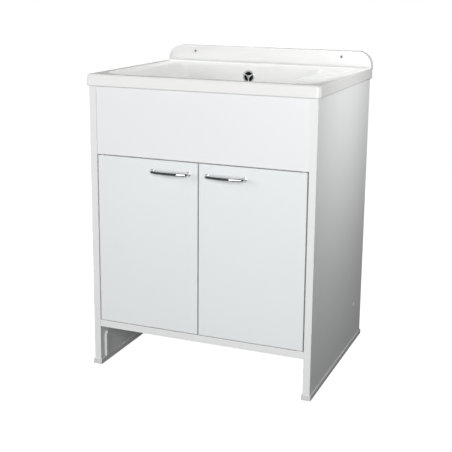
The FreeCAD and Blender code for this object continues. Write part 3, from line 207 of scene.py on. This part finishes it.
# Bright zinc plating on drawn steel: bluish, a little cloudy, with the scuffs of a driver.
zinc, tree, shader, place = new_material("zinc_plated_steel", 0.3, Metallic=1.0)
clouds = add_node(tree, "TexNoise", Vector=place, Scale=1 / 0.004, Detail=3.0)
tint = add_node(tree, "ValToRGB", clouds)
for stop, colour in zip(tint.color_ramp.elements, ("b4b8bd", "cfd0cc")):
    stop.color = linear(colour)
scuffs = add_node(tree, "MapRange", clouds, 0.35, 0.65, 0.22, 0.4)
relief = add_node(tree, "Bump", Strength=0.3, Distance=0.00003, Height=clouds)
plug(shader, Base_Color=tint, Roughness=scuffs, Normal=relief)
dress(zinc, "shelf_screws")

# Polystyrene from a polished mould: a clear bright white, glossy. Its white is raised a little further as a
# painted highlight on the caps.
cap_white_and_painted_highlight = moulded("moulded_polystyrene", "f0f1f0", "f5f5f4", 0.3,
                      cloud=0.01, grain=0.0015, depth=0.00003, IOR=1.59)
dress(cap_white_and_painted_highlight, "screw_caps")


# Plinth stops ---------------------------------------------------------------------------------------------
# A white plastic strip on the inner face of each side, set back from the front, stops a loose plinth board
# from being pushed in too far.

# The same polystyrene from a plainer mould: greyer and half matt.
strip_plastic = moulded("moulded_polystyrene_strip", "dcdddd", "e4e5e5", 0.4,
                        cloud=0.02, grain=0.001, depth=0.00003, IOR=1.59)
dress(strip_plastic, "plinth_stops")


# Pivot pins and bushes ------------------------------------------------------------------------------------
# Each door turns on two 5 mm steel pins near its outer corners. They run in flanged nylon bushes, pressed
# into the shelf below and into the front panel above.

# Moulded natural nylon: milky and slightly warm, with light going a little way in.
nylon = moulded("moulded_nylon", "dedcd2", "e9e7de", 0.35,
                cloud=0.006, grain=0.0008, depth=0.00002, IOR=1.53,
                Subsurface_Weight=0.15, Subsurface_Scale=0.002)
dress(nylon, "pivot_bushes")
dress(zinc, "left_pivot_pins", "right_pivot_pins")


# Doors ----------------------------------------------------------------------------------------------------
# Two leaves of 18 mm chipboard in the front panel's smooth foil, banded on all four edges, whose front
# arrises are rounded. Each carries its pins, handle and strike plate and swings outwards.

# Their foil is from another batch than the panel's: a trace bluer.
melamine("melamine_left_door", ["left_door"], DEPTH_AXIS, "e5e8ea", "e9eced", SMOOTH_SATIN)
melamine("melamine_right_door", ["right_door"], DEPTH_AXIS, "e5e8ea", "e9eced", SMOOTH_SATIN)


# Handles --------------------------------------------------------------------------------------------------
# A zinc bow on each door, cast with its two feet 96 mm apart, polished and chrome plated. Two pan-head
# screws with a cross recess hold it from inside the door.

# Bright chrome over nickel: a near mirror, with the slight unevenness that hand polishing leaves.
chrome, tree, shader, place = new_material("chrome_plated_zinc", 0.07,
                                           Metallic=1.0, Base_Color=linear("d2d4d6"))
polish = add_node(tree, "TexNoise", Vector=place, Scale=1 / 0.012, Detail=2.0)
haze = add_node(tree, "MapRange", polish, NOISE_LOW, NOISE_HIGH, 0.05, 0.11)
relief = add_node(tree, "Bump", Strength=0.1, Distance=0.0001, Height=polish)
plug(shader, Roughness=haze, Normal=relief)
dress(chrome, "left_handle", "right_handle")


def add_object(name, mesh, material):
    """An object at the origin, made from a bmesh in one material."""
    data = bpy.data.meshes.new(name)
    mesh.to_mesh(data)
    mesh.free()
    data.materials.append(material)
    made = bpy.data.objects.new(name, data)
    bpy.context.scene.collection.objects.link(made)
    return made


def cross_recess_screw(name, seat, outwards, head, crown, shank, length, body):
    """A pan-head screw on the seat of its head. Head and shank are radii and crown is the head's height."""
    wing, recess_depth, recess_taper = 0.34 * head / 2, 0.6 * crown, 0.75
    mesh = bmesh.new()

    # The head's flat top is five cells square, each as wide as a wing of the cross that is pressed in.
    cells = 5
    bmesh.ops.create_grid(mesh, x_segments=cells, y_segments=cells, size=cells * wing / 2,
                          matrix=Matrix.Translation((0, 0, crown)))
    offsets = {face: sorted(abs(c) for c in face.calc_center_median()[:2]) for face in mesh.faces}
    cross = [face for face, (near, far) in offsets.items() if near < wing / 2 and far < 1.5 * wing]
    pressed = bmesh.ops.extrude_face_region(mesh, geom=cross)["geom"]
    bmesh.ops.delete(mesh, geom=cross, context="FACES_ONLY")
    recess_floor = [v for v in pressed if isinstance(v, bmesh.types.BMVert)]
    bmesh.ops.scale(mesh, vec=(recess_taper, recess_taper, 1), verts=recess_floor)
    bmesh.ops.translate(mesh, vec=(0, 0, -recess_depth), verts=recess_floor)

    # Rings lead over the dome to the seat, in shares of head and crown, and then down the shank.
    dome = [(0.62, 1), (0.8, 0.86), (0.93, 0.6), (1, 0.3), (1, 0)]
    rings = [(r * head, h * crown) for r, h in dome] + [(shank, 0), (shank, -length)]
    edge = [e for e in mesh.edges if e.is_boundary]
    for radius, height in rings:
        grown = bmesh.ops.extrude_edge_only(mesh, edges=edge)["geom"]
        edge = [e for e in grown if isinstance(e, bmesh.types.BMEdge) and e.is_boundary]
        for vertex in {v for e in edge for v in e.verts}:
            vertex.co = (vertex.co.xy.normalized() * radius).to_3d() + Vector((0, 0, height))
    bmesh.ops.holes_fill(mesh, edges=edge, sides=0)

    turned = Vector(outwards).to_track_quat("Z", "Y").to_matrix().to_4x4()
    bmesh.ops.transform(mesh, matrix=Matrix.Translation(seat) @ turned, verts=mesh.verts)
    bmesh.ops.recalc_face_normals(mesh, faces=mesh.faces)
    screw = add_object(name, mesh, zinc)
    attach(screw, body)
    return screw


def screws_for(node, body, outwards, head, crown, shank, across=(0,)):
    """Screws with a recess in place of a CAD node's plain ones. Across gives their x from its middle."""
    low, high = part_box(node)
    axis = [abs(c) for c in outwards].index(1)
    seat = (low + high) / 2
    seat[axis] = (high if outwards[axis] > 0 else low)[axis] - outwards[axis] * crown
    length = (high - low)[axis] - crown
    for number, x in enumerate(across, 1):
        place = seat + Vector((x, 0, 0))
        screw = cross_recess_screw(f"{node}_{number}", place, outwards, head, crown, shank, length, body)
    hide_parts(node)


TO_THE_BACK, TO_THE_FRONT, UP = (0, 1, 0), (0, -1, 0), (0, 0, 1)
handle_span = 0.096
for leaf in ("left", "right"):
    screws_for(f"{leaf}_handle_screws", f"{leaf}_leaf", TO_THE_BACK, head=0.004, crown=0.0024, shank=0.002,
               across=(-handle_span / 2, handle_span / 2))


# Magnetic catches -----------------------------------------------------------------------------------------
# Behind the top of each door a white plastic housing, screwed to the back of the front panel, holds a
# ferrite magnet between two steel pole plates. They pull on a zinc-plated strike plate on the door.

# Moulded ABS: a dense, even white, half matt.
abs_plastic = moulded("moulded_abs_housing", "dcdddc", "e4e4e3", 0.38,
                      cloud=0.015, grain=0.0009, depth=0.00003, IOR=1.54)
dress(abs_plastic, "left_catch", "right_catch")
dress(zinc, "left_strike_plate", "right_strike_plate")

small_screw = {"head": 0.0032, "crown": 0.0016, "shank": 0.0016}
for leaf in ("left", "right"):
    screws_for(f"{leaf}_strike_screw", f"{leaf}_leaf", TO_THE_BACK, **small_screw)
catch_middle, ear = 0.05, 0.015
screws_for("catch_screws", "cabinet", TO_THE_BACK, **small_screw,
           across=[side * catch_middle + end * ear for side in (-1, 1) for end in (-1, 1)])

# Pressed and fired ferrite: dark grey, dull and grainy.
ferrite = moulded("pressed_ferrite", "26272a", "333436", 0.6,
                  cloud=0.003, grain=0.0005, depth=0.00004, IOR=2.3)


def bar(name, low, high, material, body):
    """A small block between two corners, with its edges broken by 0.1 mm."""
    low, high = Vector(low), Vector(high)
    mesh = bmesh.new()
    bmesh.ops.create_cube(mesh, size=1, matrix=Matrix.Translation((low + high) / 2) @
                          Matrix.Diagonal((high - low).to_4d()))
    bmesh.ops.bevel(mesh, geom=mesh.edges, offset=0.0001, affect="EDGES", segments=2, profile=0.5,
                    material=-1)
    block = add_object(name, mesh, material)
    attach(block, body)


half_length, reach, plate, magnet, foot, proud = 0.013, 0.006, 0.0014, 0.0044, 0.0022, 0.00012
for leaf in ("left", "right"):
    low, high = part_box(f"{leaf}_catch")
    left, right = [(low.x + high.x) / 2 + side * half_length for side in (-1, 1)]
    front, back = low.y, low.y + reach
    magnet_foot = low.z + foot + plate
    magnet_top = magnet_foot + magnet
    for level, plate_foot in (("lower", low.z + foot), ("upper", magnet_top)):
        bar(f"{leaf}_{level}_pole_plate", (left, front - proud, plate_foot),
            (right, back, plate_foot + plate), zinc, "cabinet")
    bar(f"{leaf}_magnet", (left, front - proud / 2, magnet_foot), (right, back, magnet_top),
        ferrite, "cabinet")


# Tub ------------------------------------------------------------------------------------------------------
# One thick moulding in white resin, with an offset bowl, a lower ledge beside it, a skirt that laps over
# the base and a hollow backsplash. It lies on the boards and is screwed to the wall.

# Glossy resin from a polished mould: an even white. Its reflections ripple slowly, over 3 cm, and have a
# faint peel of 2.5 mm.
tub_resin, tree, shader, place = new_material("moulded_resin", 0.2, Coat_Weight=0.2, Coat_Roughness=0.08)
clouds = add_node(tree, "TexNoise", Vector=place, Scale=1 / 0.2, Detail=2.0)
white = add_node(tree, "Mix", settings=IN_COLOUR, Factor=clouds, A=linear("e9eae9"), B=linear("ededec"))
ripple = add_node(tree, "TexNoise", Vector=place, Scale=1 / 0.03, Detail=1.0)
peel = add_node(tree, "TexNoise", Vector=place, Scale=1 / 0.0025, Detail=1.0)
gloss = add_node(tree, "MapRange", ripple, NOISE_LOW, NOISE_HIGH, 0.17, 0.24)
slow = add_node(tree, "Bump", Strength=0.2, Distance=0.0003, Height=ripple)
eased = add_node(tree, "Bevel", settings={"samples": 4}, Radius=0.002, Normal=slow)
fine = add_node(tree, "Bump", Strength=0.06, Distance=0.00005, Height=peel, Normal=eased)
plug(shader, Base_Color=white, Roughness=gloss, Normal=fine)
dress(tub_resin, "tub")


# Overflow -------------------------------------------------------------------------------------------------
# A chrome ring with three spokes lies in a seat in the bowl's back wall. One screw through its hub pulls a
# rubber seal and an elbow against the outside, and a white pipe drops from the elbow to the drain. The
# elbow is coloured near black as painted shade, so that the overflow's opening looks dark.

dress(chrome, "overflow_grille")
screws_for("overflow_screw", "cabinet", TO_THE_FRONT, head=0.0037, crown=0.0014, shank=0.002)

# Moulded rubber: nearly black, with a dusty bloom.
rubber = moulded("moulded_rubber", "161616", "232322", 0.75,
                 cloud=0.008, grain=0.0007, depth=0.00005, IOR=1.52)
dress(rubber, "overflow_seal", "drain_seal")

# Painted shade: the elbow is near black and slightly matt, so that the overflow's opening looks dark.
elbow_shade_black = moulded("elbow_black_painted_shade", "121213", "1a1a1b", 0.42,
                        cloud=0.02, grain=0.0012, depth=0.00004, IOR=1.49)
dress(elbow_shade_black, "overflow_elbow")


# Drain ----------------------------------------------------------------------------------------------------
# A pressed stainless strainer lies in the seat of the bowl's floor. Its middle screw pulls up the plastic
# drain body with a rubber seal, so that the tub's floor is clamped between them.

# Stainless sheet, pressed and then polished on a lathe: fine rings round the drain's middle. At 0.9 mm
# apart they are drawn coarser than real ones, so that they show.
stainless, tree, shader, place = new_material("polished_stainless_sheet", 0.25, Metallic=1.0,
                                              Base_Color=linear("c9c9c6"))
ring_spacing = 0.0009
wave_length = 0.314  # of a ring texture at a scale of 1
low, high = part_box("drain_strainer")
centre = add_node(tree, "Mapping", Vector=place, Location=(-(low.x + high.x) / 2, -(low.y + high.y) / 2, 0.0))
turning = add_node(tree, "TexWave", settings={"wave_type": "RINGS", "rings_direction": "Z"}, Vector=centre,
                   Scale=wave_length / ring_spacing, Distortion=0.4).outputs["Fac"]
gloss = add_node(tree, "MapRange", turning, 0.0, 1.0, 0.2, 0.32)
relief = add_node(tree, "Bump", Strength=0.15, Distance=0.00003, Height=turning)
plug(shader, Roughness=gloss, Normal=relief)
dress(stainless, "drain_strainer")
screws_for("drain_screw", "cabinet", UP, head=0.0057, crown=0.0025, shank=0.003)

# Moulded white polypropylene: soft and a little waxy, with faint flow marks.
white_plastic = moulded("moulded_polypropylene", "dededb", "e8e8e5", 0.38,
                        cloud=0.03, grain=0.0015, depth=0.00004, IOR=1.49,
                        Subsurface_Weight=0.05, Subsurface_Scale=0.003)
dress(white_plastic, "drain_body", "overflow_pipe")


# Bottle trap ----------------------------------------------------------------------------------------------
# A white polypropylene bottle trap hangs from the drain's threaded neck: union nuts with grip flutes, a
# thin tailpipe, the bottle with its screwed-on cup, and the 40 mm pipe that runs back to the wall.

dress(white_plastic, "tail_nut", "trap_nut", "outlet_nut", "trap_body", "trap_cup")

# Extruded white polypropylene: the two pipes are smoother and glossier than the mouldings.
pipe_plastic = moulded("extruded_polypropylene", "e0e0dd", "e9e9e6", 0.3,
                       cloud=0.05, grain=0.003, depth=0.00003, IOR=1.49)
dress(pipe_plastic, "tailpipe", "outlet_pipe")


# Studio ---------------------------------------------------------------------------------------------------
# The sink stands on a pale floor in a white room. A large soft light stands in front and weaker ones fill
# from the left, the right, above and behind. The camera is a little above the rim and sees the front and
# the right side.

image_side, focal_length = 452, 944  # in pixels
camera_data = bpy.data.cameras.new("camera")
camera_data.sensor_width = 36
camera_data.lens = focal_length / image_side * camera_data.sensor_width
camera_data.shift_y = -0.08
camera_data.clip_end = 50
camera = bpy.data.objects.new("camera", camera_data)
camera.location = (0.888, -2.266, 0.996)
turn, tilt, roll = math.radians(21.87), math.radians(12.73), math.radians(0.55)
aim = Euler((math.pi / 2 - tilt, 0, turn)).to_matrix() @ Matrix.Rotation(roll, 3, "Z")
camera.rotation_euler = aim.to_euler()
bpy.context.scene.collection.objects.link(camera)
bpy.context.scene.camera = camera

# Pale matt floor paint: it returns a middling share of the light, but to the camera it glows white.
floor_paint, tree, shader, place = new_material("pale_floor_paint", 0.9, Base_Color=linear("707070"))
glow = add_node(tree, "Emission", Color=(1, 1, 1, 1), Strength=1.0)
glowing = add_node(tree, "AddShader", shader, glow)
to_camera = add_node(tree, "LightPath").outputs["Is Camera Ray"]
shown = add_node(tree, "MixShader", to_camera, shader, glowing)
plug(tree.nodes["Material Output"], Surface=shown)
floor_reach = 12
floor_mesh = bmesh.new()
bmesh.ops.create_grid(floor_mesh, x_segments=1, y_segments=1, size=floor_reach)
floor = add_object("floor", floor_mesh, floor_paint)


def softbox(name, place, towards, width, height, watts, reflected=False):
    """A rectangular softbox that faces a point. Only one that is reflected shows in glossy faces."""
    data = bpy.data.lights.new(name, "AREA")
    data.shape = "RECTANGLE"
    data.size, data.size_y = width, height
    data.energy = watts
    lamp = bpy.data.objects.new(name, data)
    lamp.location = place
    lamp.rotation_euler = (Vector(towards) - Vector(place)).to_track_quat("-Z", "Y").to_euler()
    lamp.visible_glossy = reflected
    bpy.context.scene.collection.objects.link(lamp)


# The front light leaves the bright streak on the handles. The side light hangs close to the right side
# board, so that the board darkens towards the floor.
softbox("front_light", (0.55, -2.4, 1.0), (0.1, 0, 0.6), width=1.6, height=1.4, watts=47, reflected=True)
softbox("left_light", (-2.2, -1.6, 1.3), (0, 0, 0.6), width=1.0, height=1.0, watts=24)
softbox("side_light", (0.8, 0.02, 0.88), (0.3, 0.02, 0.85), width=0.2, height=0.7, watts=3.4)
softbox("bowl_light", (-0.3, 0.4, 1.6), (-0.2, -0.1, 0.76), width=0.8, height=0.4, watts=10.5)
softbox("back_light", (0.2, 2.4, 1.3), (0, 0, 0.5), width=1.5, height=1.2, watts=9)

# The room is white to the camera and gives the sink only a little light from all sides.
room = bpy.data.worlds.new("white_room")
bpy.context.scene.world = room
room.use_nodes = True
to_camera = add_node(room.node_tree, "LightPath").outputs["Is Camera Ray"]
for_the_sink, for_the_camera = 0.08, 1.0
brightness = add_node(room.node_tree, "MapRange", to_camera, 0.0, 1.0, for_the_sink, for_the_camera)
plug(room.node_tree.nodes["Background"], Color=(1, 1, 1, 1), Strength=brightness)
bpy.context.scene.view_settings.view_transform = "Standard"
